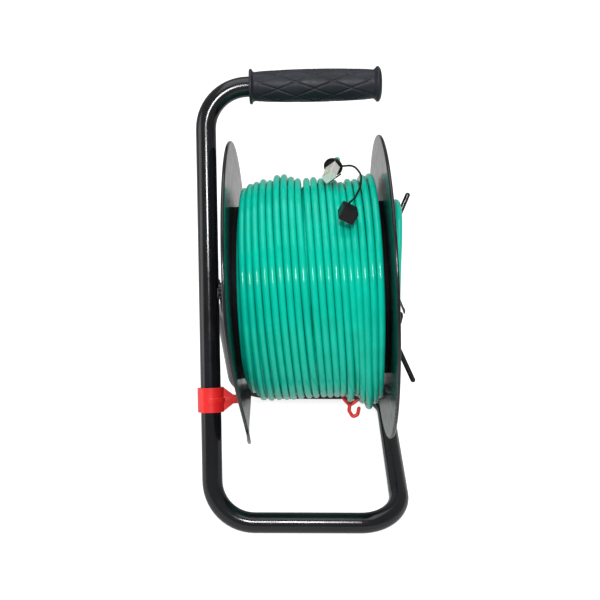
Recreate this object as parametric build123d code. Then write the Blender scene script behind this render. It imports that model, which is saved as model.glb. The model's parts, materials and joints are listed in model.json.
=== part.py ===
from build123d import *
import os
from math import atan2, cos, degrees, pi, radians, sin, tan

# Cable reel on a bent-tube stand. Millimetres, +Z up. The origin is on the floor, below the middle of the
# reel's own box. The drum turns on a fixed axle carried by the stand's long leg and short leg.

# Driving dimensions: stand
tube_r = 10.0
tube_wall = 1.5
bend_r = 42.0
hub_z = 209.0              # height of the drum's centre over the floor
foot_half = 114.4          # floor bars, in front of and behind the drum's axis
drum_x = 3.5               # the drum's middle plane, to the right of the origin
lean = 1.89                # the legs lean to the left, degrees
long_leg_x = -94.1         # leg centre lines at floor level, from the drum's middle plane
short_leg_x = -81.4
right_bar_front_x = 93.0
right_bar_back_x = 94.7
handle_z = 383.4
handle_tube_len = 172.5

# Driving dimensions: drum
axle_tilt = 3.11           # the axle's free end stands a little higher, degrees
axle_r = 5.0
bush_clearance = 0.06
flange_r = 148.7
flange_face = 69.9         # inner faces, each side of the middle plane
sheet = 1.6
rim_bead_r = 1.6
core_r = 85.0
winding_r = 109.0
cable_r = 3.25
bush_bore_r = axle_r + bush_clearance
bush_disc_r = 20.0
bush_disc = 3.0
bush_boss_r = 13.9
bush_boss_len = 20.0
tie_ring_r = 58.0
tie_r = 3.0

# Driving dimensions: side coil, its arms and the plugs
coil_inner_r = 68.0
coil_outer_r = 80.0
coil_height = 11.6
arm_rod_r = 2.5
upper_arm_flare = 25.4     # from the radial direction, degrees
lower_arm_flare = 22.2
arm_angle = 30.0           # of the upper arm, from the top towards the back
plug_len = 21.5
plug_width = 11.7
plug_height = 8.0
grip_len = 131.6

outer_face = flange_face + sheet
parts = {}

drum_place = Pos(drum_x, 0, hub_z) * Rot(0, -axle_tilt, 0)


def ring(outer, inner, start, end):
    """A round sleeve about the X axis, from start to end."""
    sleeve = Cylinder(outer, end - start)
    if inner:
        sleeve -= Cylinder(inner, end - start)
    return Pos((start + end) / 2, 0, 0) * Rot(0, 90, 0) * sleeve


def around(angle):
    """Turn about the X axis, from the top towards the back."""
    return Rot(-angle, 0, 0)


def turned(points):
    """A solid turned about the X axis from an outline of (x, radius) points."""
    return revolve(make_face(Plane.XZ * Polyline(*points, close=True)), axis=Axis.X)


def rod(path, radius):
    return sweep(Plane(origin=path @ 0, z_dir=path % 0) * Circle(radius), path=path)


def largest_arcs(points):
    """Each corner's radius is as large as its two runs allow."""
    radii = []
    for before, corner, after in zip(points, points[1:], points[2:]):
        run_in = Vector(*corner) - Vector(*before)
        run_out = Vector(*after) - Vector(*corner)
        turn = run_in.get_angle(run_out)
        radii.append(0.45 * min(run_in.length, run_out.length) / tan(radians(turn / 2)))
    return radii


# ---------------------------------------------------------------- stand
leg_rise = foot_half / (hub_z - tube_r)       # how far back each leg goes, per unit of height
lean_rise = tan(radians(lean))


def long_leg(z):
    height = z - tube_r
    return Vector(drum_x + long_leg_x - lean_rise * height, -foot_half + leg_rise * height, z)


def short_leg(z):
    height = z - tube_r
    return Vector(drum_x + short_leg_x - lean_rise * height, foot_half - leg_rise * height, z)


top_corner = long_leg(handle_z)
handle_end = top_corner + Vector(cos(radians(lean)), 0, sin(radians(lean))) * handle_tube_len
spade_centre = short_leg(hub_z)
short_dir = (spade_centre - short_leg(tube_r)).normalized()
spade_start = 46.0                            # the round tube ends this far below the axle
spade_widest = 22.0                           # and is widest this far beyond its round end
spade_half_width = 12.5
spade_end_r = 6.8
round_end = spade_centre - short_dir * spade_start
tube_path = FilletPolyline(
    handle_end,
    top_corner,
    long_leg(tube_r),
    (drum_x + right_bar_front_x, -foot_half, tube_r),
    (drum_x + right_bar_back_x, foot_half, tube_r),
    short_leg(tube_r),
    round_end,
    radius=bend_r,
)
print("stand tube length", round(tube_path.length, 1))
tube_section = Circle(tube_r) - Circle(tube_r - tube_wall)
stand = sweep(Plane(origin=tube_path @ 0, z_dir=tube_path % 0) * tube_section, path=tube_path)

# The short leg's end is pressed flat, lies against the long leg and carries the axle.
spade_thick = 5.2
spade_plane = Plane(origin=round_end, x_dir=(1, 0, 0), z_dir=short_dir)
wide_section = spade_plane.offset(spade_widest) * RectangleRounded(spade_thick, 2 * spade_half_width, 2.4)
end_section = spade_plane.offset(spade_start) * RectangleRounded(spade_thick, 2 * spade_end_r, 2.4)
neck = loft([spade_plane * Circle(tube_r), wide_section])
blade = loft([wide_section, end_section])
blade_end = spade_plane.offset(spade_start) * Rot(0, 90, 0) * Cylinder(spade_end_r, spade_thick)
axle_root = -98.0          # the axle ends inside the long leg
axle_bore = drum_place * ring(axle_r, 0, axle_root, 0)
stand = stand + neck + blade + blade_end
inside_long_leg = Plane(origin=long_leg(hub_z), z_dir=long_leg(handle_z) - long_leg(hub_z)) * Cylinder(
    tube_r - tube_wall, 70
)
parts["stand_tube"] = stand - (axle_bore - inside_long_leg) - inside_long_leg

# Rubber grip on the handle: barrel-shaped sleeve, a collar at each end, the right end closed.
grip_start = handle_tube_len - grip_len + 3.4
handle_place = Plane(origin=top_corner, x_dir=handle_end - top_corner, z_dir=(0, 1, 0)).location
collar_r = 17.4
grip_end_r = 13.8
grip_middle_r = 16.0
collar_width = 2.8
with BuildSketch(Plane.XY) as grip_profile:
    with BuildLine():
        Polyline(
            (grip_start, tube_r),
            (grip_start, collar_r),
            (grip_start + collar_width, collar_r),
            (grip_start + collar_width + 2.5, grip_end_r + 0.4),
        )
        ThreePointArc(
            (grip_start + collar_width + 2.5, grip_end_r + 0.4),
            (grip_start + grip_len / 2, grip_middle_r),
            (grip_start + grip_len - collar_width - 5.5, grip_end_r + 0.4),
        )
        Polyline(
            (grip_start + grip_len - collar_width - 5.5, grip_end_r + 0.4),
            (grip_start + grip_len - collar_width - 2.0, collar_r),
            (grip_start + grip_len - 2.0, collar_r),
            (grip_start + grip_len, collar_r * 0.7),
            (grip_start + grip_len, 0),
            (handle_tube_len, 0),
            (handle_tube_len, tube_r),
            (grip_start, tube_r),
        )
    make_face()
parts["handle_grip"] = handle_place * revolve(grip_profile.sketch, axis=Axis.X)

# Weld seams hold the pressed end to the long leg.
weld_r = 1.9
weld_len = 8.0
weld_depth = 1.0
weld_offset = (4.8, 2.5)                      # to the front and the back of the spade's middle, and down or up
spade_outer_x = spade_centre.X - spade_thick / 2
for name, side in (("front", -1), ("back", 1)):
    seam = Plane(
        origin=Vector(spade_outer_x - weld_depth, spade_centre.Y + side * weld_offset[0], spade_centre.Z + side * weld_offset[1]),
        z_dir=long_leg(handle_z) - long_leg(hub_z),
    )
    bead = Cylinder(weld_r, weld_len)
    bead += Pos(0, 0, weld_len / 2) * Sphere(weld_r)
    bead += Pos(0, 0, -weld_len / 2) * Sphere(weld_r)
    parts["weld_seam_" + name] = seam * bead

# ---------------------------------------------------------------- axle, fixed to the stand
spade_inner = spade_centre.X + spade_thick / 2 - drum_x
bush_end = outer_face + bush_disc
side_play = 0.5
axle_end = 86.0
spacer_r = 6.2
washer_r = 12.0
washer_thick = 1.6
nut_start = bush_end + side_play + washer_thick
nut_len = 6.5
nut_half_width = 9.5
parts["axle"] = drum_place * ring(axle_r, 0, axle_root, axle_end)
parts["axle_spacer"] = drum_place * ring(spacer_r, axle_r, spade_inner, -bush_end - side_play)
parts["axle_washer"] = drum_place * ring(washer_r, axle_r, bush_end + side_play, nut_start)
nut = extrude(Plane.YZ.offset(nut_start) * RegularPolygon(nut_half_width, 6, major_radius=False), nut_len)
parts["axle_nut"] = drum_place * (nut - ring(axle_r, 0, nut_start, nut_start + nut_len))
cap_outline = [
    (nut_start + nut_len, axle_r),
    (nut_start + nut_len, 9.2),
    (axle_end + 1.0, 8.4),
    (axle_end + 2.6, 5.0),
    (axle_end + 2.6, 0),
    (axle_end, 0),
    (axle_end, axle_r),
]
parts["axle_cap"] = drum_place * turned(cap_outline)

# ---------------------------------------------------------------- drum
rib_inner_r = 38.0
rib_outer_r = 49.0
rib_ramp = 3.0
rib_depth = 2.0
grommet_r = 6.0
grommet_angle = 118.0
grommet_ring_r = 72.5

tie_angles = [75.0 + 90.0 * step for step in range(4)]


def face_hole(angle, ring_radius, radius, side):
    """A drill through one flange, at an angle round the axle."""
    return around(angle) * Pos(side * outer_face, 0, ring_radius) * Rot(0, 90, 0) * Cylinder(radius, 10)


def flange(side):
    """Sheet disc with a rolled rim and a stiffening rib pressed inwards, drilled for the tie bolts."""
    outline = [
        (flange_face, bush_boss_r),
        (outer_face, bush_boss_r),
        (outer_face, rib_inner_r),
        (outer_face - rib_depth, rib_inner_r + rib_ramp),
        (outer_face - rib_depth, rib_outer_r - rib_ramp),
        (outer_face, rib_outer_r),
        (outer_face, flange_r - rim_bead_r),
        (flange_face, flange_r - rim_bead_r),
        (flange_face, rib_outer_r),
        (flange_face - rib_depth, rib_outer_r - rib_ramp),
        (flange_face - rib_depth, rib_inner_r + rib_ramp),
        (flange_face, rib_inner_r),
    ]
    disc = turned([(side * u, radius) for u, radius in outline])
    rim = Pos(side * (flange_face + rim_bead_r), 0, 0) * Rot(0, 90, 0)
    disc += rim * Torus(flange_r - rim_bead_r, rim_bead_r)
    for angle in tie_angles:
        disc -= face_hole(angle, tie_ring_r, tie_r, side)
    return disc


parts["right_flange"] = drum_place * (flange(1) - face_hole(grommet_angle, grommet_ring_r, grommet_r, 1))
parts["left_flange"] = drum_place * flange(-1)

core_wall = 1.5
inlet_r = 5.0
inlet_setback = 12.0
inlet = around(grommet_angle) * Pos(flange_face - inlet_setback, 0, core_r) * Cylinder(inlet_r, 12)
parts["drum_core"] = drum_place * (ring(core_r, core_r - core_wall, -flange_face, flange_face) - inlet)

bush = turned([
    (outer_face - bush_boss_len, bush_bore_r),
    (bush_end, bush_bore_r),
    (bush_end, bush_disc_r - 1.0),
    (bush_end - 1.0, bush_disc_r),
    (outer_face, bush_disc_r),
    (outer_face, bush_boss_r),
    (outer_face - bush_boss_len, bush_boss_r),
])
parts["right_bush"] = drum_place * bush
parts["left_bush"] = drum_place * mirror(bush, about=Plane.YZ)

# Four tie bolts clamp the flanges on the core: round heads on the left, nuts on the right.
head_r = 5.6
head_len = 3.4
tie_nut_len = 4.6
tie_nut_half_width = 5.0
tie_end = outer_face + tie_nut_len + 2.0
for number, angle in enumerate(tie_angles, start=1):
    place = drum_place * around(angle) * Pos(0, 0, tie_ring_r)
    head = turned([
        (-outer_face, 0),
        (-outer_face, head_r),
        (-outer_face - head_len * 0.5, head_r),
        (-outer_face - head_len, head_r * 0.6),
        (-outer_face - head_len, 0),
    ])
    parts[f"tie_bolt_{number}"] = place * (head + ring(tie_r, 0, -outer_face, tie_end))
    tie_nut = extrude(Plane.YZ.offset(outer_face) * RegularPolygon(tie_nut_half_width, 6, major_radius=False), tie_nut_len)
    parts[f"tie_nut_{number}"] = place * (tie_nut - ring(tie_r, 0, outer_face, outer_face + tie_nut_len))

# Two bent rods on the right flange hold the side coil; a saddle and two screws fix each.
arm_foot_r = 23.0
arm_knee_r = 35.0
arm_knee_bend = 12.0
rod_u = outer_face + arm_rod_r
saddle_r = 29.0
saddle_len = 7.0
saddle_width = 9.0
saddle_foot_width = 24.0
saddle_plate = 1.4
saddle_height = 2 * arm_rod_r + saddle_plate
screw_side = 8.6
screw_head_r = 2.6
screw_head_len = 1.8


def coil_arm(flare, tip_r):
    """A rod up the flange's face that flares outwards beyond its knee, to a round tip."""
    tip = (rod_u + (tip_r - arm_knee_r) * tan(radians(flare)), 0, tip_r)
    path = FilletPolyline((rod_u, 0, arm_foot_r), (rod_u, 0, arm_knee_r), tip, radius=arm_knee_bend)
    return rod(path, arm_rod_r) + Pos(*tip) * Sphere(arm_rod_r)


saddle = Pos(outer_face + saddle_height / 2, 0, saddle_r) * Box(saddle_height, saddle_width, saddle_len)
saddle += Pos(outer_face + saddle_plate / 2, 0, saddle_r) * Box(saddle_plate, saddle_foot_width, saddle_len)
saddle -= Pos(rod_u, 0, saddle_r) * Cylinder(arm_rod_r, saddle_len + 1)
saddle -= Pos(outer_face + arm_rod_r / 2, 0, saddle_r) * Box(arm_rod_r, 2 * arm_rod_r, saddle_len + 1)
screw = Rot(0, 90, 0) * Cylinder(screw_head_r, screw_head_len, align=(Align.CENTER, Align.CENTER, Align.MIN))
for label, angle, flare, tip_r in (
    ("upper", arm_angle, upper_arm_flare, 90.5),
    ("lower", arm_angle + 180.0, lower_arm_flare, 93.0),
):
    place = drum_place * around(angle)
    parts["coil_arm_" + label] = place * coil_arm(flare, tip_r)
    parts["arm_saddle_" + label] = place * saddle
    for number, side in ((1, -1), (2, 1)):
        at = Pos(outer_face + saddle_plate, side * screw_side, saddle_r)
        parts[f"saddle_screw_{label}_{number}"] = place * at * screw

grommet_bore_r = 3.3
grommet_lip_r = grommet_r + 2.0
grommet_inner_lip = 1.5
grommet_outer_lip = 1.3
grommet = turned([
    (flange_face - grommet_inner_lip, grommet_bore_r),
    (outer_face + grommet_outer_lip, grommet_bore_r),
    (outer_face + grommet_outer_lip, grommet_lip_r),
    (outer_face, grommet_lip_r),
    (outer_face, grommet_r),
    (flange_face, grommet_r),
    (flange_face, grommet_lip_r),
    (flange_face - grommet_inner_lip, grommet_lip_r),
])
parts["cable_grommet"] = drum_place * around(grommet_angle) * Pos(0, 0, grommet_ring_r) * grommet

# ---------------------------------------------------------------- cable
parts["main_winding"] = drum_place * ring(winding_r, core_r, -flange_face, flange_face)
coil_face = outer_face + grommet_outer_lip + 0.1
coil_end = coil_face + coil_height
parts["side_coil"] = drum_place * ring(coil_outer_r, coil_inner_r, coil_face, coil_end)

# The free end leaves the winding behind the top and comes forward over it into the plug's boot.
lead_points = [
    (20.0, 104.6, 22.7),
    (19.6, 103.4, 44.5),
    (19.8, 95.5, 65.5),
    (21.2, 84.5, 83.8),
    (24.4, 71.8, 98.4),
    (28.4, 58.3, 110.2),
    (30.8, 46.0, 117.2),
    (30.8, 34.0, 121.9),
    (28.0, 22.5, 123.0),
]
lead_radii = largest_arcs(lead_points)
lead_path = FilletPolyline(*lead_points, radius=lead_radii)
lead = rod(lead_path, cable_r)
print("lead radii", [round(radius, 1) for radius in lead_radii])
print("lead volume", round(lead.volume), "section x length", round(pi * cable_r**2 * lead_path.length))
parts["lead"] = drum_place * lead


# ---------------------------------------------------------------- plugs
# A plug is built along +X with its nose at plug_len and its contacts on top.
latch_root = plug_len - 2.2
latch_tip_gap = 3.6
latch_len = 14.0
boot_len = 9.0
boot_r = 6.9
contact_count = 8
contact_pitch = 1.02


def plug_body():
    body = Pos(plug_len / 2, 0, 0) * Box(plug_len, plug_width, plug_height)
    body = fillet(body.edges().filter_by(Axis.X), 0.5)
    window = Pos(plug_len - 3.2, 0, plug_height / 2) * Box(6.6, contact_count * contact_pitch + 0.4, 1.6)
    keyway = Pos(latch_root, 0, -plug_height / 2) * Box(3.0, 6.4, 1.0)
    return body - window - keyway


def plug_contacts():
    blades = Pos(plug_len - 3.2, 0, plug_height / 2 - 0.65) * Box(6.0, contact_count * contact_pitch, 0.3)
    for index in range(contact_count):
        across = (index - (contact_count - 1) / 2) * contact_pitch
        blades += Pos(plug_len - 3.2, across, plug_height / 2 - 0.4) * Box(5.6, 0.45, 0.6)
    return blades


def plug_latch():
    """A flexing tab, rooted near the nose and standing off the underside towards the boot."""
    angle = degrees(atan2(latch_tip_gap, latch_len))
    tab = Box(latch_len, 5.6, 1.1, align=(Align.MAX, Align.CENTER, Align.MAX))
    tab += Pos(-latch_len + 2.0, 0, 0) * Box(4.0, 7.0, 1.3, align=(Align.MAX, Align.CENTER, Align.MAX))
    return Pos(latch_root, 0, -plug_height / 2 - 0.3) * Rot(0, -angle, 0) * tab


def plug_boot():
    outline = [
        (-boot_len, cable_r),
        (-boot_len, cable_r + 1.3),
        (-1.0, boot_r),
        (1.5, boot_r),
        (1.5, 0),
        (-1.0, 0),
        (-1.0, cable_r),
    ]
    socket = Pos(1.5, 0, 0) * Box(3.0, plug_width, plug_height)
    return turned(outline) - socket


# The main plug points forward, a little down and to the left, turned about its own length.
plug_nose = Vector(20.7, -6.0, 119.3)
plug_dir = Vector(-0.246, -0.961, -0.124).normalized()
plug_up = Vector(-0.62, 0.02, 0.78)
plug_side = plug_up.cross(plug_dir).normalized()
plug_top = plug_dir.cross(plug_side)
plug_origin = plug_nose - plug_dir * plug_len
main_plug_place = drum_place * Plane(origin=plug_origin, x_dir=plug_dir, z_dir=plug_top).location
lead_entry = plug_origin - plug_dir * boot_len
print("lead ends at", lead_points[-1], "boot at", [round(value, 1) for value in lead_entry])

# The side coil's plug lies along the coil's outer face, behind the drum's middle.
side_plug_angle = 150.0
side_plug_press = 0.1
side_plug_u = coil_end + boot_r - side_plug_press
side_plug_place = drum_place * around(side_plug_angle) * Pos(side_plug_u, 0, grommet_ring_r) * Rot(0, 0, -90)
side_plug_place = side_plug_place * Pos(boot_len, 0, 0) * Rot(90, 0, 0)
for name, place in (("main", main_plug_place), ("side", side_plug_place)):
    parts[name + "_plug_body"] = place * plug_body()
    parts[name + "_plug_contacts"] = place * plug_contacts()
    parts[name + "_plug_latch"] = place * plug_latch()
    parts[name + "_plug_boot"] = place * plug_boot()

# Dust cap on a tether, moulded with a ring that sits round the main plug's boot.
tether_r = 0.95
ring_r = 7.3
ring_wire_r = 1.1
tether_points = [
    (34.2, 13.6, 122.6),
    (44.5, 5.0, 126.0),
    (50.8, -7.0, 121.4),
    (48.9, -26.0, 116.6),
    (42.0, -44.5, 112.8),
    (37.0, -53.5, 112.6),
]
tether_path = FilletPolyline(*tether_points, radius=largest_arcs(tether_points))
ring_place = Plane(origin=plug_origin, x_dir=plug_dir, z_dir=plug_top).location * Pos(0.2, 0, 0)
tether = rod(tether_path, tether_r) + ring_place * Rot(0, 90, 0) * Torus(ring_r + 0.7, ring_wire_r)
parts["cap_tether"] = drum_place * tether
cap_width = 14.4
cap_height = 11.6
cap_depth = 16.0
cap_wall = 1.3
cap_roll = 30.0
cap_centre = (35.2, -60.6, 105.9)
cap_block = Box(cap_width, cap_depth, cap_height)
cap_block = fillet(cap_block.edges().filter_by(Axis.Y), 1.2)
cap_space = Pos(0, cap_wall, 0) * Box(cap_width - 2 * cap_wall, cap_depth, cap_height - 2 * cap_wall)
parts["dust_cap"] = drum_place * Pos(*cap_centre) * Rot(0, cap_roll, 0) * (cap_block - cap_space)

# Red hook clipped round a turn of the winding, low at the front.
hook_u = 34.0
hook_wire_r = 1.8
hook_bend_r = 2.3
hook_angle = 213.0


def hook_wire(*points):
    """Wire through points given as (along the axle from the hook's middle, distance from the axle)."""
    return rod(FilletPolyline(*[(hook_u + u, 0, radius) for u, radius in points], radius=hook_bend_r), hook_wire_r)


hook = hook_wire((-6.9, 105.4), (-4.4, 110.0), (0, 115.0), (4.4, 112.4), (8.4, 109.6))
hook += hook_wire((0, 114.8), (-0.9, 120.4), (2.6, 126.6), (7.4, 124.4), (8.8, 118.4))
hook += Pos(hook_u + 8.8, 0, 118.4) * Sphere(hook_wire_r)
hook += Pos(hook_u, 0, 114.8) * Sphere(hook_wire_r * 1.2)
parts["cable_hook"] = drum_place * around(hook_angle) * hook

# ---------------------------------------------------------------- drum brake on the long leg
# An open collar swivels on the leg; its nose rubs the left flange.
brake_z = 114.5
brake_height = 24.0
brake_r = 13.0
brake_bore_r = tube_r + 0.08
brake_gap = 80.0           # the collar is open at the back, degrees
nose_reach = 29.2
nose_height = 8.4
leg_dir = (long_leg(handle_z) - long_leg(tube_r)).normalized()
brake_place = Plane(origin=long_leg(brake_z), x_dir=(1, 0, 0), z_dir=leg_dir).location
collar = Cylinder(brake_r, brake_height) - Cylinder(brake_bore_r, brake_height)
opening = Polyline(
    (0, 0),
    (40 * cos(radians(180 - brake_gap)), 40 * sin(radians(180 - brake_gap))),
    (-40, 40),
    (-40, 0),
    close=True,
)
collar -= extrude(make_face(opening), brake_height, both=True)
lip = Pos(-brake_r + 0.9, 0.9, 0) * Box(2.2, 1.8, brake_height)
web_start = brake_r - 1.5
web = make_face(Plane.XZ * Polyline(
    (web_start, -brake_height / 2 + 0.6),
    (brake_r, -brake_height / 2 + 0.6),
    (brake_r + 9.5, -nose_height / 2),
    (brake_r + 9.5, nose_height / 2),
    (brake_r, brake_height / 2 - 0.6),
    (web_start, brake_height / 2 - 0.6),
    close=True,
))
web = extrude(web, 1.4, both=True)
nose = Pos((brake_r + 6.0 + nose_reach) / 2, 0, 0) * Box(nose_reach - brake_r - 6.0, 6.0, nose_height)
rib_plate = Cylinder(brake_r + 2.2, 3.6) - Cylinder(brake_r - 1.0, 3.6)
rib_plate = rib_plate - Pos(-20, 0, 0) * Box(40, 60, 4) - Pos(0, 20, 0) * Box(60, 40, 4)
rib_run = Pos((brake_r + nose_reach - 4.0) / 2, -1.6, 0) * Box(nose_reach - 5.0 - brake_r, 6.0, 3.6)
parts["drum_brake"] = brake_place * (collar + lip + web + nose + rib_plate + rib_run)

os.makedirs("parts", exist_ok=True)
for name, shape in parts.items():
    export_step(shape, f"parts/{name}.step")

stand_alone = [shape for name, shape in parts.items() if name not in ("main_winding", "side_coil", "lead")]
box = Compound(children=[Compound(shape.solids()) for shape in stand_alone]).bounding_box()
print("box", tuple(box.min), tuple(box.max))
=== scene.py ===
"""The look of a network cable reel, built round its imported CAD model. Metres, in the row frame."""

import json
import math

import bmesh
import bpy
from mathutils import Matrix, Vector


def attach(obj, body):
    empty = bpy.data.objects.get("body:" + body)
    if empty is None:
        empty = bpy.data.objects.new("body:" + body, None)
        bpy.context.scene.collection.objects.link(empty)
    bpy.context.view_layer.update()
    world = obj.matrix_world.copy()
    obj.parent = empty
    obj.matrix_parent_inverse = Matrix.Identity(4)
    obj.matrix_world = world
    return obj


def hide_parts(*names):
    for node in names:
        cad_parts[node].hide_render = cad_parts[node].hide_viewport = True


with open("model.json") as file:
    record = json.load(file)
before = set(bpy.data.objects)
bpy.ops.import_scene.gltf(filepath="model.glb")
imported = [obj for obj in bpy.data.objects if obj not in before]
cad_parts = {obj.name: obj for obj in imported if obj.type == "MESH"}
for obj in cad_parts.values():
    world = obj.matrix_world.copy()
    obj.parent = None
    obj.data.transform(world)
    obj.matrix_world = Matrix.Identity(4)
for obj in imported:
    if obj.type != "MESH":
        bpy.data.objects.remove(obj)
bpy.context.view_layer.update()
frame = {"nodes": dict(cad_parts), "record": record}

scene = bpy.context.scene
MM = 0.001

# ---------------------------------------------------------------- camera
cam_data = bpy.data.cameras.new("camera")
cam_data.sensor_width = 36.0
cam_data.lens = 50.743
cam_data.clip_end = 20.0
camera = bpy.data.objects.new("camera", cam_data)
scene.collection.objects.link(camera)
scene.camera = camera
CAMERA_PLACE = (-0.01915, -0.74417, 0.59787)
YAW, PITCH, ROLL = math.radians(0.96), math.radians(28.27), math.radians(0.89)
forward = Vector((math.sin(YAW) * math.cos(PITCH), math.cos(YAW) * math.cos(PITCH), -math.sin(PITCH)))
level_right = forward.cross(Vector((0, 0, 1))).normalized()
level_up = level_right.cross(forward)
right = level_right * math.cos(ROLL) + level_up * math.sin(ROLL)
up = level_up * math.cos(ROLL) - level_right * math.sin(ROLL)
facing = Matrix((right, up, -forward)).transposed().to_4x4()
camera.matrix_world = Matrix.Translation(CAMERA_PLACE) @ facing

# ---------------------------------------------------------------- places
TILT = math.radians(3.11)            # the axle's slope
HUB = Vector((3.5, 0.0, 209.0))      # the drum's middle, in millimetres
AXLE = Vector((math.cos(TILT), 0, math.sin(TILT)))
DRUM_UP = Vector((-math.sin(TILT), 0, math.cos(TILT)))


def on_drum(along, back, up):
    """A point of the drum's own frame, in millimetres, as metres in the row frame."""
    return (HUB + AXLE * along + Vector((0, back, 0)) + DRUM_UP * up) * MM


def round_drum(along, angle, radius):
    """The same for a point at an angle round the axle, in degrees from the top towards the back."""
    turn = math.radians(angle)
    return on_drum(along, radius * math.sin(turn), radius * math.cos(turn))


# ---------------------------------------------------------------- materials
class Nodes:
    """A material's nodes, and the few ways in which this scene joins them."""

    def __init__(self, name):
        self.material = bpy.data.materials.new(name)
        self.material.use_nodes = True
        self.tree = self.material.node_tree
        self.tree.nodes.clear()
        self.shader = self.add("ShaderNodeBsdfPrincipled")
        out = self.add("ShaderNodeOutputMaterial")
        self.join(self.shader.outputs[0], out.inputs["Surface"])
        self.place = self.add("ShaderNodeTexCoord").outputs["Object"]

    def add(self, kind, **settings):
        node = self.tree.nodes.new(kind)
        for key, value in settings.items():
            if key in node.inputs:
                node.inputs[key].default_value = value
            else:
                setattr(node, key, value)
        return node

    def join(self, source, target):
        self.tree.links.new(source, target)

    def noise(self, scale, detail=4.0, roughness=0.55):
        node = self.add("ShaderNodeTexNoise", Scale=scale, Detail=detail, Roughness=roughness)
        self.join(self.place, node.inputs["Vector"])
        return node.outputs["Fac"]

    def spread(self, source, low, high, at=(0.3, 0.7)):
        node = self.add("ShaderNodeMapRange")
        for key, value in zip(("From Min", "From Max", "To Min", "To Max"), (*at, low, high)):
            node.inputs[key].default_value = value
        self.join(source, node.inputs["Value"])
        return node.outputs["Result"]

    def colours(self, source, *stops):
        ramp = self.add("ShaderNodeValToRGB")
        ends = ramp.color_ramp.elements
        while len(ends) < len(stops):
            ends.new(0.5)
        for end, (at, colour) in zip(ends, stops):
            end.position, end.color = at, (*colour, 1.0)
        self.join(source, ramp.inputs["Fac"])
        return ramp.outputs["Color"]

    def mix(self, factor, a, b):
        node = self.add("ShaderNodeMix", data_type="RGBA")
        self.join(factor, node.inputs["Factor"])
        for socket, value in ((node.inputs["A"], a), (node.inputs["B"], b)):
            if isinstance(value, tuple):
                socket.default_value = (*value, 1.0)
            else:
                self.join(value, socket)
        return node.outputs["Result"]

    def times(self, a, b):
        node = self.add("ShaderNodeMath", operation="MULTIPLY")
        for socket, value in zip(node.inputs, (a, b)):
            if isinstance(value, float):
                socket.default_value = value
            else:
                self.join(value, socket)
        return node.outputs["Value"]

    def edges(self, radius):
        """1 on sharp edges and 0 on faces, from how far a bevelled normal turns."""
        bevel = self.add("ShaderNodeBevel", samples=4, Radius=radius)
        geometry = self.add("ShaderNodeNewGeometry")
        dot = self.add("ShaderNodeVectorMath", operation="DOT_PRODUCT")
        self.join(bevel.outputs["Normal"], dot.inputs[0])
        self.join(geometry.outputs["Normal"], dot.inputs[1])
        return self.spread(dot.outputs["Value"], 1.0, 0.0, at=(0.80, 0.98))

    def bump(self, source, strength, distance):
        node = self.add("ShaderNodeBump", Strength=strength, Distance=distance)
        self.join(source, node.inputs["Height"])
        self.join(node.outputs["Normal"], self.shader.inputs["Normal"])

    def set(self, **values):
        for key, value in values.items():
            self.shader.inputs[key.replace("_", " ")].default_value = value


# The scales of the patches of colour, of roughness and of wear, and how far wear reaches from an edge.
PATCHES, ROUGH_PATCHES, WEAR_PATCHES = 28.0, 86.8, 170.0
WEAR_RADIUS = 0.6 * MM


def finish_of(name, dark, light, rough, wear=None, grain=900.0, relief=0.12, relief_mm=0.05, **values):
    """A moulded, painted or plated finish: patchy colour and roughness, fine relief, worn edges."""
    n = Nodes(name)
    colour = n.colours(n.noise(PATCHES, detail=6.0), (0.32, dark), (0.68, light))
    if wear:
        worn = n.times(n.edges(WEAR_RADIUS), n.spread(n.noise(WEAR_PATCHES), 0.25, 1.0))
        colour = n.mix(worn, colour, wear)
    n.join(colour, n.shader.inputs["Base Color"])
    n.join(n.spread(n.noise(ROUGH_PATCHES), *rough), n.shader.inputs["Roughness"])
    n.bump(n.noise(grain, detail=3.0), relief, relief_mm * MM)
    n.set(**values)
    return n.material


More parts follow.
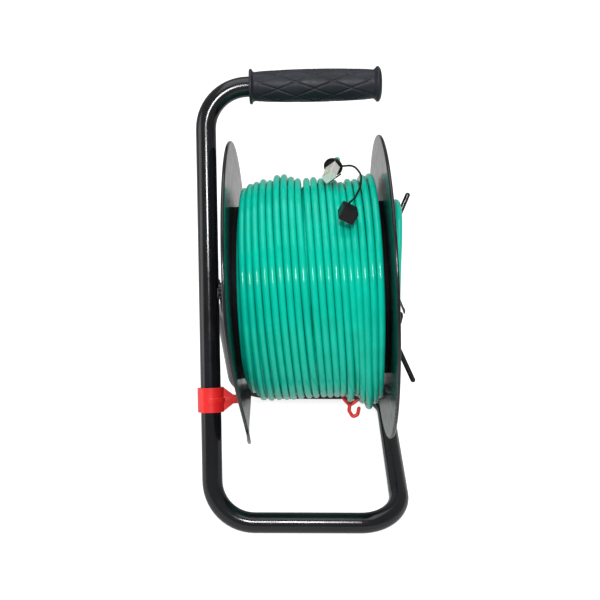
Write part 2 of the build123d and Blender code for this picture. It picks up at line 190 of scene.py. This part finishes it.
FINISHES = {
    "stand_paint": dict(
        dark=(0.004, 0.004, 0.005), light=(0.008, 0.009, 0.012), rough=(0.12, 0.22),
        wear=(0.03, 0.03, 0.034), relief=0.02,
    ),
    "drum_paint": dict(
        dark=(0.005, 0.006, 0.007), light=(0.010, 0.012, 0.014), rough=(0.14, 0.23),
        wear=(0.04, 0.04, 0.045), relief=0.03,
    ),
    "grip_rubber": dict(
        dark=(0.009, 0.010, 0.016), light=(0.017, 0.019, 0.029), rough=(0.42, 0.56),
        wear=(0.05, 0.05, 0.07), relief=0.25, relief_mm=0.08, grain=1500.0, Specular_IOR_Level=0.35,
    ),
    "steel": dict(
        dark=(0.42, 0.42, 0.43), light=(0.60, 0.60, 0.60), rough=(0.22, 0.38),
        wear=(0.75, 0.75, 0.74), relief=0.10, Metallic=1.0,
    ),
    "weld": dict(
        dark=(0.010, 0.010, 0.012), light=(0.022, 0.022, 0.025), rough=(0.22, 0.40),
        relief=0.8, relief_mm=0.5, grain=420.0,
    ),
    "bush_plastic": dict(
        dark=(0.020, 0.021, 0.023), light=(0.040, 0.041, 0.044), rough=(0.36, 0.50),
        wear=(0.10, 0.10, 0.10), relief=0.2,
    ),
    "black_plastic": dict(
        dark=(0.012, 0.012, 0.014), light=(0.026, 0.026, 0.030), rough=(0.30, 0.44),
        wear=(0.10, 0.10, 0.11), relief=0.2,
    ),
    "soft_black": dict(
        dark=(0.004, 0.004, 0.005), light=(0.010, 0.009, 0.010), rough=(0.34, 0.50),
        wear=(0.05, 0.03, 0.035), relief=0.3, grain=1600.0, Specular_IOR_Level=0.25,
    ),
    "red_plastic": dict(
        dark=(0.86, 0.010, 0.014), light=(0.95, 0.030, 0.030), rough=(0.26, 0.40),
        wear=(0.98, 0.22, 0.16), relief=0.12, Subsurface_Weight=0.15, Subsurface_Scale=0.003,
    ),
    "plug_shell": dict(
        dark=(0.76, 0.74, 0.68), light=(0.88, 0.86, 0.81), rough=(0.20, 0.34),
        wear=(0.95, 0.94, 0.91), relief=0.1, Metallic=0.15,
    ),
    "plug_contact": dict(
        dark=(0.84, 0.77, 0.58), light=(0.94, 0.88, 0.72), rough=(0.20, 0.34), Metallic=0.7,
    ),
    # the core behind the winding is duller than the flanges, and its colour is darker than the drum's paint: the
    # darker colour is painted shade for the deep gap between the winding and the left flange
    "drum_core": dict(
        dark=(0.002, 0.002, 0.003), light=(0.005, 0.005, 0.006), rough=(0.55, 0.70),
        relief=0.1, Specular_IOR_Level=0.1,
    ),
}


def cable_jacket():
    """Sea-green PVC jacket: faint bands along the lay, waxy sheen, scuffs."""
    n = Nodes("cable_jacket")
    colour = n.colours(
        n.noise(60.0, detail=6.0), (0.25, (0.0, 0.50, 0.35)), (0.75, (0.0, 0.60, 0.43))
    )
    scuff = n.spread(n.noise(320.0, detail=5.0, roughness=0.7), 0.0, 0.35, at=(0.60, 0.78))
    colour = n.mix(scuff, colour, (0.02, 0.60, 0.46))
    n.join(colour, n.shader.inputs["Base Color"])
    n.join(n.spread(n.noise(240.0), 0.08, 0.15), n.shader.inputs["Roughness"])
    n.bump(n.noise(700.0, detail=3.0), 0.10, 0.05 * MM)
    n.set(IOR=1.46, Specular_IOR_Level=0.32)
    return n.material


MATERIALS = {name: finish_of(name, **values) for name, values in FINISHES.items()}
MATERIALS["cable_jacket"] = cable_jacket()

for part in frame["record"]["subparts"]:
    look = "drum_core" if part["node"] == "drum_core" else part["material_slot"]
    data = frame["nodes"][part["node"]].data
    data.materials.clear()
    data.materials.append(MATERIALS[look])


def add_piece(name, data, body, slot):
    """A piece of this script's own, with its material, on the body that carries it."""
    piece = bpy.data.objects.new(name, data)
    scene.collection.objects.link(piece)
    data.materials.clear()
    data.materials.append(MATERIALS[slot])
    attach(piece, body)
    return piece


# ---------------------------------------------------------------- the two cables
CABLE_D = 6.5
STEPS = 16           # control points in a turn
STEP = 360.0 / STEPS
START = -13.0        # the angle at which an outer turn begins
SWELL = 1 / math.cos(math.pi / STEPS)   # control points lie outside the round line that they give

# The outer layer, turn by turn: place along the axle at the top, low on the front and at the
# bottom, and the jacket's outer radius at the top, on the front and at the bottom.
OUTER_TURNS = [
    (-59.7, -57.4, -59.2, 103.6, 103.0, 99.4),
    (-53.9, -50.0, -49.7, 107.2, 106.5, 107.2),
    (-48.0, -41.9, -42.2, 108.9, 108.6, 107.8),
    (-41.4, -34.7, -34.7, 111.1, 109.4, 107.4),
    (-34.8, -27.6, -27.2, 110.0, 109.0, 107.5),
    (-28.1, -20.8, -20.5, 114.5, 109.6, 107.6),
    (-21.2, -14.0, -12.9, 115.0, 109.8, 107.2),
    (-14.6, -7.3, -4.8, 112.5, 108.8, 107.0),
    (-8.2, 0.2, 2.0, 110.6, 109.0, 106.6),
    (0.2, 7.8, 9.2, 110.6, 109.2, 106.2),
    (7.0, 14.4, 15.5, 111.2, 109.4, 106.7),
    (14.0, 21.0, 22.2, 109.6, 109.2, 106.5),
    (20.9, 27.4, 28.1, 109.8, 109.4, 106.7),
    (27.2, 34.3, 34.3, 107.5, 109.8, 112.6),
    (33.2, 40.8, 42.2, 105.5, 108.0, 106.6),
    (39.8, 45.0, 46.8, 108.1, 109.6, 114.2),
    (46.8, 49.9, 53.2, 107.6, 109.8, 120.4),
    (53.9, 55.5, 59.4, 111.5, 110.6, 115.0),
    (61.2, 60.5, 64.0, 112.3, 109.6, 109.0),
]
BACK_R = 108.9       # outer radius at the back of every turn
LAST_TURN_STEPS = 7  # then the free end leaves the last turn
# How the sixteen points of a turn share the three places and the next turn's first.
PLACE_SHARES = [
    (1.00, 0.00, 0.00, 0.00), (0.87, 0.13, 0.00, 0.00), (0.68, 0.32, 0.00, 0.00), (0.45, 0.55, 0.00, 0.00),
    (0.16, 0.84, 0.00, 0.00), (0.00, 0.75, 0.25, 0.00), (0.00, 0.00, 1.00, 0.00), (0.00, 0.00, 1.00, 0.00),
    (0.00, 0.00, 0.93, 0.07), (0.00, 0.00, 0.80, 0.20), (0.00, 0.00, 0.65, 0.35), (0.00, 0.00, 0.50, 0.50),
    (0.00, 0.00, 0.35, 0.65), (0.00, 0.00, 0.20, 0.80), (0.00, 0.00, 0.08, 0.92), (0.00, 0.00, 0.00, 1.00),
]
# The same for its radii: top, front, bottom, back and the next turn's top.
RADIUS_SHARES = [
    (0.75, 0.25, 0, 0, 0), (0.25, 0.75, 0, 0, 0), (0, 1, 0, 0, 0), (0, 1, 0, 0, 0),
    (0, 0.85, 0.15, 0, 0), (0, 0.3, 0.7, 0, 0), (0, 0, 1, 0, 0), (0, 0, 1, 0, 0),
    (0, 0, 0.6, 0.4, 0), (0, 0, 0.2, 0.8, 0), (0, 0, 0, 1, 0), (0, 0, 0, 1, 0),
    (0, 0, 0, 0.7, 0.3), (0, 0, 0, 0.25, 0.75), (0, 0, 0, 0, 1), (0, 0, 0, 0, 1),
]
# The three layers below it: centre radius, first and last place along the axle, and turns.
INNER_LAYERS = [(88.4, 62.4, -62.4, 19), (94.1, -60.5, 61.0, 18), (99.8, 59.0, -53.0, 17)]
END_STAY = 0.6       # part of a turn that stays at each end of a layer
WANDER, WANDER_RATE = 0.35, 2.3      # a hidden turn's sway along the axle, and its phase per turn
# From the core's inlet to the first layer: place along the axle, angle and radius.
INLET = [(58.4, 150.0, 77.0), (59.5, 125.0, 82.5), (61.5, 100.0, 87.5)]
# Between the last hidden layer and the outer one: places along the axle, at one radius.
RISE, RISE_R = (-55.5, -57.5, -59.0, -59.7), 100.3
# Then the free end crosses the back of the layer: place along the axle and angle.
CROSSING = [(64.0, 189.5), (59.0, 167.0), (50.0, 144.5), (40.0, 122.0), (29.0, 99.5)]
CROSSING_R = 113.6


def winding_points():
    """Control points of the whole winding, from the core's inlet to where the free end leaves it."""
    points = [round_drum(*place) for place in INLET]
    angle = START + len(RISE) * STEP
    for radius, first, last, turns in INNER_LAYERS:
        for step in range(turns * STEPS):
            share = (step / STEPS - END_STAY) / (turns - 2 * END_STAY)
            share = min(1.0, max(0.0, share))
            wander = WANDER * math.sin(WANDER_RATE * step / STEPS + radius)
            points.append(round_drum(first + (last - first) * share + wander, angle, radius * SWELL))
            angle -= STEP
    for place in RISE:
        points.append(round_drum(place, angle, RISE_R * SWELL))
        angle -= STEP
    for turn, following in zip(OUTER_TURNS, OUTER_TURNS[1:] + [OUTER_TURNS[-1]]):
        places, radii = turn[:3] + following[:1], turn[3:] + (BACK_R,) + following[3:4]
        steps = LAST_TURN_STEPS if turn is OUTER_TURNS[-1] else STEPS
        for place_shares, radius_shares in zip(PLACE_SHARES[:steps], RADIUS_SHARES):
            place = sum(share * value for share, value in zip(place_shares, places))
            radius = sum(share * value for share, value in zip(radius_shares, radii)) - CABLE_D / 2
            points.append(round_drum(place, angle, radius * SWELL))
            angle -= STEP
    return points + [round_drum(place, at, CROSSING_R) for place, at in CROSSING]


# The free end's own points are the CAD lead's.
LEAD = [
    (20.0, 104.6, 22.7),
    (19.6, 103.4, 44.5),
    (19.8, 95.5, 65.5),
    (21.2, 84.5, 83.8),
    (24.4, 71.8, 98.4),
    (28.4, 58.3, 110.2),
    (30.8, 46.0, 117.2),
    (30.8, 34.0, 121.9),
    (28.0, 22.5, 123.0),
]


def cable(name, points, resolution):
    """A round cable along one open NURBS spline through these control points."""
    curve = bpy.data.curves.new(name, "CURVE")
    curve.dimensions = "3D"
    curve.bevel_depth = CABLE_D / 2 * MM
    curve.bevel_resolution = 5
    curve.use_fill_caps = True
    spline = curve.splines.new("NURBS")
    spline.points.add(len(points) - 1)
    for point, place in zip(spline.points, points):
        point.co = (*place, 1.0)
    spline.order_u = 3
    spline.use_endpoint_u = True
    spline.resolution_u = resolution
    spline.use_smooth = True
    return add_piece(name, curve, "drum", "cable_jacket")


main_cable = cable("main_cable", winding_points() + [on_drum(*point) for point in LEAD], 3)
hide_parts("main_winding", "lead")

SIDE_EXIT = (71.0, 118.0, 72.5)
SIDE_START = (70.0, 121.0, 72.5)
SIDE_STEP = 24.0
# The side coil's turns: place along the axle and radius, one SIDE_STEP after another from the grommet.
SIDE_TURNS = [
    (73.0, 72.5), (74.9, 71.6), (76.0, 71.6), (76.5, 72.4), (76.6, 73.2), (76.5, 73.4), (75.8, 72.6), (75.2, 71.2),
    (75.0, 70.2), (75.0, 69.9), (75.0, 69.8), (75.0, 69.8), (75.0, 70.0), (75.0, 70.6), (75.1, 71.8),
    (78.0, 75.6), (78.6, 77.6), (79.6, 78.4), (80.6, 79.2), (81.0, 79.6), (80.6, 79.4), (78.4, 78.6), (76.2, 77.6),
    (75.2, 76.7), (75.1, 76.4), (75.1, 76.3), (75.1, 76.3), (75.4, 76.5), (75.9, 77.0), (76.8, 78.0),
    (80.6, 81.5), (82.6, 82.8), (84.8, 82.8), (86.6, 82.8), (87.0, 83.0), (86.0, 83.2), (82.6, 83.6), (78.6, 83.8),
    (76.3, 83.2), (77.3, 82.6), (77.3, 82.4), (77.6, 82.2), (79.4, 81.2),
]
# Then it runs into the plug's boot: place along the axle, angle and radius.
SIDE_END = [(84.0, 176.0, 79.6), (89.4, 163.0, 75.6), (91.2, 154.0, 73.0), (91.3, 149.0, 72.6)]
SIDE_SWELL = 1 / math.cos(math.radians(SIDE_STEP / 2))
side_points = [round_drum(*SIDE_START)]
for index, (place, radius) in enumerate(SIDE_TURNS):
    side_points.append(round_drum(place, SIDE_EXIT[1] - SIDE_STEP * index, radius * SIDE_SWELL))
side_points += [round_drum(*place) for place in SIDE_END]
side_cable = cable("side_cable", side_points, 4)
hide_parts("side_coil")

# ---------------------------------------------------------------- grip with its diamond pattern
LEAN = math.radians(1.89)            # the handle's slope, and the long leg's lean to the left
LEG_FOOT = Vector((HUB.x - 94.1, -114.4, 10.0))                 # where the leg's line starts, in the floor loop
LEG_RUN = Vector((-math.tan(LEAN), 114.4 / 199.0, 1.0))         # the leg's slope for each millimetre of rise
HANDLE_RISE = 373.4
HANDLE_CORNER = LEG_FOOT + LEG_RUN * HANDLE_RISE
HANDLE = Vector((math.cos(LEAN), 0, math.sin(LEAN)))
HANDLE_UP = Vector((-math.sin(LEAN), 0, math.cos(LEAN)))
GRIP_START = 44.3                    # from the corner along the handle
# The two collars and the body between them: place along the grip and radius.
GRIP_COLLAR = [
    (0.0, 10.0), (0.0, 16.6), (0.5, 17.2), (1.4, 17.4), (2.3, 17.2), (2.8, 16.6), (3.3, 15.3), (4.2, 14.5),
    (5.3, 14.2),
]
GRIP_END = [
    (123.3, 14.2), (124.6, 14.9), (125.6, 16.0), (126.4, 17.0), (127.3, 17.4), (128.4, 17.3), (129.5, 16.4),
    (130.6, 14.4), (131.3, 11.6), (131.6, 7.0), (131.6, 0.6),
]
BODY_FROM, BODY_TO = GRIP_COLLAR[-1][0], GRIP_END[0][0]
BODY_R = 14.2
BODY_BULGE = 1.7                     # how much thicker the body is in its middle
BODY_MIDDLE, BODY_HALF = 64.3, 59.0
BODY_RINGS = 236
GRIP_ROUND = 182
DIAMONDS = 7                         # round the grip
DIAMOND_LEN = 36.6
DIAMOND_MIDDLE = 64.5
GROOVE_HALF = 0.85
RIDGE, GROOVE = 0.25, 0.75
RIDGE_FROM, RIDGE_TO, RIDGE_FADE = 6.0, 122.5, 4.0
FACING = 62.0        # degrees from the top towards the front: a row of diamonds faces the camera


def ridge(along, angle, radius):
    """How far the rubber stands out at a place on the grip's body."""
    length_turns = (along - DIAMOND_MIDDLE) / DIAMOND_LEN
    round_turns = DIAMONDS * (angle / 360.0)
    slope = math.hypot(1 / DIAMOND_LEN, DIAMONDS / (2 * math.pi * radius))
    near = min(abs((length_turns + hand * round_turns) % 1.0 - 0.5) for hand in (1, -1)) / slope
    fade = min(1.0, max(0.0, (along - RIDGE_FROM) / RIDGE_FADE), max(0.0, (RIDGE_TO - along) / RIDGE_FADE))
    return fade * (RIDGE - GROOVE * math.exp(-((near / GROOVE_HALF) ** 4)))


def on_handle(along, angle, radius):
    """A point of the grip's skin, at an angle round the handle from the top towards the front."""
    if BODY_FROM < along < BODY_TO:
        radius += ridge(along, angle - FACING, radius)
    turn = math.radians(angle)
    place = HANDLE_CORNER + HANDLE * (GRIP_START + along)
    return (place + HANDLE_UP * (radius * math.cos(turn)) + Vector((0, -radius * math.sin(turn), 0))) * MM


SAME_PLACE = 1e-7
SMOOTH_BELOW = math.radians(35)


def lathe(name, outline, around, place_of, close_end=False):
    """A turned mesh: each outline point becomes a ring, and place_of gives the place of its corners."""
    mesh = bmesh.new()
    rings = [
        [mesh.verts.new(place_of(along, 360.0 * step / around, radius)) for step in range(around)]
        for along, radius in outline
    ]
    for first, second in zip(rings, rings[1:]):
        for step in range(around):
            following = (step + 1) % around
            mesh.faces.new((first[step], first[following], second[following], second[step]))
    if close_end:
        mesh.faces.new(list(reversed(rings[-1])))
    bmesh.ops.remove_doubles(mesh, verts=mesh.verts, dist=SAME_PLACE)
    bmesh.ops.recalc_face_normals(mesh, faces=mesh.faces)
    for edge in mesh.edges:
        edge.smooth = edge.is_manifold and edge.calc_face_angle() < SMOOTH_BELOW
    data = bpy.data.meshes.new(name)
    mesh.to_mesh(data)
    mesh.free()
    data.polygons.foreach_set("use_smooth", [True] * len(data.polygons))
    return data


body_outline = []
for step in range(1, BODY_RINGS):
    along = BODY_FROM + (BODY_TO - BODY_FROM) * step / BODY_RINGS
    body_outline.append((along, BODY_R + BODY_BULGE * (1 - ((along - BODY_MIDDLE) / BODY_HALF) ** 2)))
grip_data = lathe("grip", GRIP_COLLAR + body_outline + GRIP_END, GRIP_ROUND, on_handle, close_end=True)
grip = add_piece("grip", grip_data, "stand", "grip_rubber")
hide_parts("handle_grip")

# ---------------------------------------------------------------- left flange, bent in low at the front
FLANGE_FACE = 69.9   # from the drum's middle to the sheet's inner face
SHEET = 1.6
FLANGE_BORE_R = 13.9
RIB = [(38.0, 0.0), (41.0, 2.0), (46.0, 2.0), (49.0, 0.0)]      # radius, and how far it is pressed in
BEAD_MIDDLE = 147.1  # radius of the middle of the rolled rim
FLANGE_R = 148.7
FLANGE_ROUND = 288
BENT_AT = -122.0     # degrees from the top towards the back
BENT_HALF = 56.0     # how many degrees the bend reaches to each side
BENT_FROM = 92.0     # the sheet is flat inside this radius
BENT_BY = 9.6
BENT_POWER = 1.6


def on_left_flange(along, angle, radius):
    """A point of the bent disc, at a distance out from its inner face."""
    away = abs((angle - BENT_AT + 180.0) % 360.0 - 180.0) / BENT_HALF
    lean = math.cos(math.radians(90.0 * min(1.0, away))) ** 2
    reach = max(0.0, (radius - BENT_FROM) / (FLANGE_R - BENT_FROM)) ** BENT_POWER
    return round_drum(-(FLANGE_FACE + along - BENT_BY * lean * reach), angle, radius)


sheet_radii = [58.0, 75.0, 88.0, 94.0, 100.0, 106.0, 112.0, 118.0, 124.0, 130.0, 136.0, 141.0, 145.5]
bead = [
    (SHEET * (1 + math.sin(math.radians(turn))), BEAD_MIDDLE - SHEET * math.cos(math.radians(turn)))
    for turn in range(20, 270, 25)
]
flange_outline = [(0.0, FLANGE_BORE_R), (SHEET, FLANGE_BORE_R)]
flange_outline += [(SHEET - depth, radius) for radius, depth in RIB]
flange_outline += [(SHEET, radius) for radius in sheet_radii] + bead
flange_outline += [(0.0, radius) for radius in reversed(sheet_radii)]
flange_outline += [(-depth, radius) for radius, depth in reversed(RIB)]
flange_outline += [(0.0, FLANGE_BORE_R)]
flange_data = lathe("bent_flange", flange_outline, FLANGE_ROUND, on_left_flange)
flange = add_piece("bent_flange", flange_data, "drum", "drum_paint")
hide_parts("left_flange")

# ---------------------------------------------------------------- floor and light
FLOOR = 6.0          # half the floor's side
ROOM_LIGHT = 0.30    # what the white room gives, while the camera sees it at full strength
FLOOR_GLOW = 0.2, 0.85      # the floor's own light, as it lights the reel and as the camera sees it

floor_data = bpy.data.meshes.new("floor")
corners = [(-FLOOR, -FLOOR, 0), (FLOOR, -FLOOR, 0), (FLOOR, FLOOR, 0), (-FLOOR, FLOOR, 0)]
floor_data.from_pydata(corners, [], [(0, 1, 2, 3)])
floor = bpy.data.objects.new("floor", floor_data)
scene.collection.objects.link(floor)
n = Nodes("floor_paper")
paper = n.colours(n.noise(3.0), (0.3, (0.60, 0.60, 0.60)), (0.7, (0.63, 0.63, 0.63)))
n.join(paper, n.shader.inputs["Base Color"])
seen = n.add("ShaderNodeLightPath").outputs["Is Camera Ray"]
n.join(n.spread(seen, *FLOOR_GLOW, at=(0.0, 1.0)), n.shader.inputs["Emission Strength"])
n.set(Roughness=0.8, Emission_Color=(1.0, 1.0, 1.0, 1.0))
floor_data.materials.append(n.material)

world = bpy.data.worlds.new("studio")
scene.world = world
world.use_nodes = True
tree = world.node_tree
background = tree.nodes["Background"]
background.inputs["Color"].default_value = (1.0, 1.0, 1.0, 1.0)
light_path = tree.nodes.new("ShaderNodeLightPath")
strength = tree.nodes.new("ShaderNodeMapRange")
strength.inputs["To Min"].default_value = ROOM_LIGHT
strength.inputs["To Max"].default_value = 1.0
tree.links.new(light_path.outputs["Is Camera Ray"], strength.inputs["Value"])
tree.links.new(strength.outputs["Result"], background.inputs["Strength"])
scene.view_settings.view_transform = "Standard"


def area_light(name, place, target, size, power):
    """A rectangular lamp at a place, turned to a target."""
    light = bpy.data.lights.new(name, "AREA")
    light.shape = "RECTANGLE"
    light.size, light.size_y = size
    light.energy = power
    lamp = bpy.data.objects.new(name, light)
    scene.collection.objects.link(lamp)
    lamp.location = place
    lamp.rotation_mode = "QUATERNION"
    lamp.rotation_quaternion = (Vector(target) - Vector(place)).to_track_quat("-Z", "Y")


area_light("key", (0.0, -1.13, 1.23), (0, 0, 0.28), (0.26, 0.29), 12.5)
area_light("top", (0.0, 0.2, 2.2), (0, 0, 0.2), (2.0, 2.0), 20.0)
area_light("left", (-1.6, -0.2, 0.6), (0, 0, 0.25), (0.9, 1.2), 6.0)
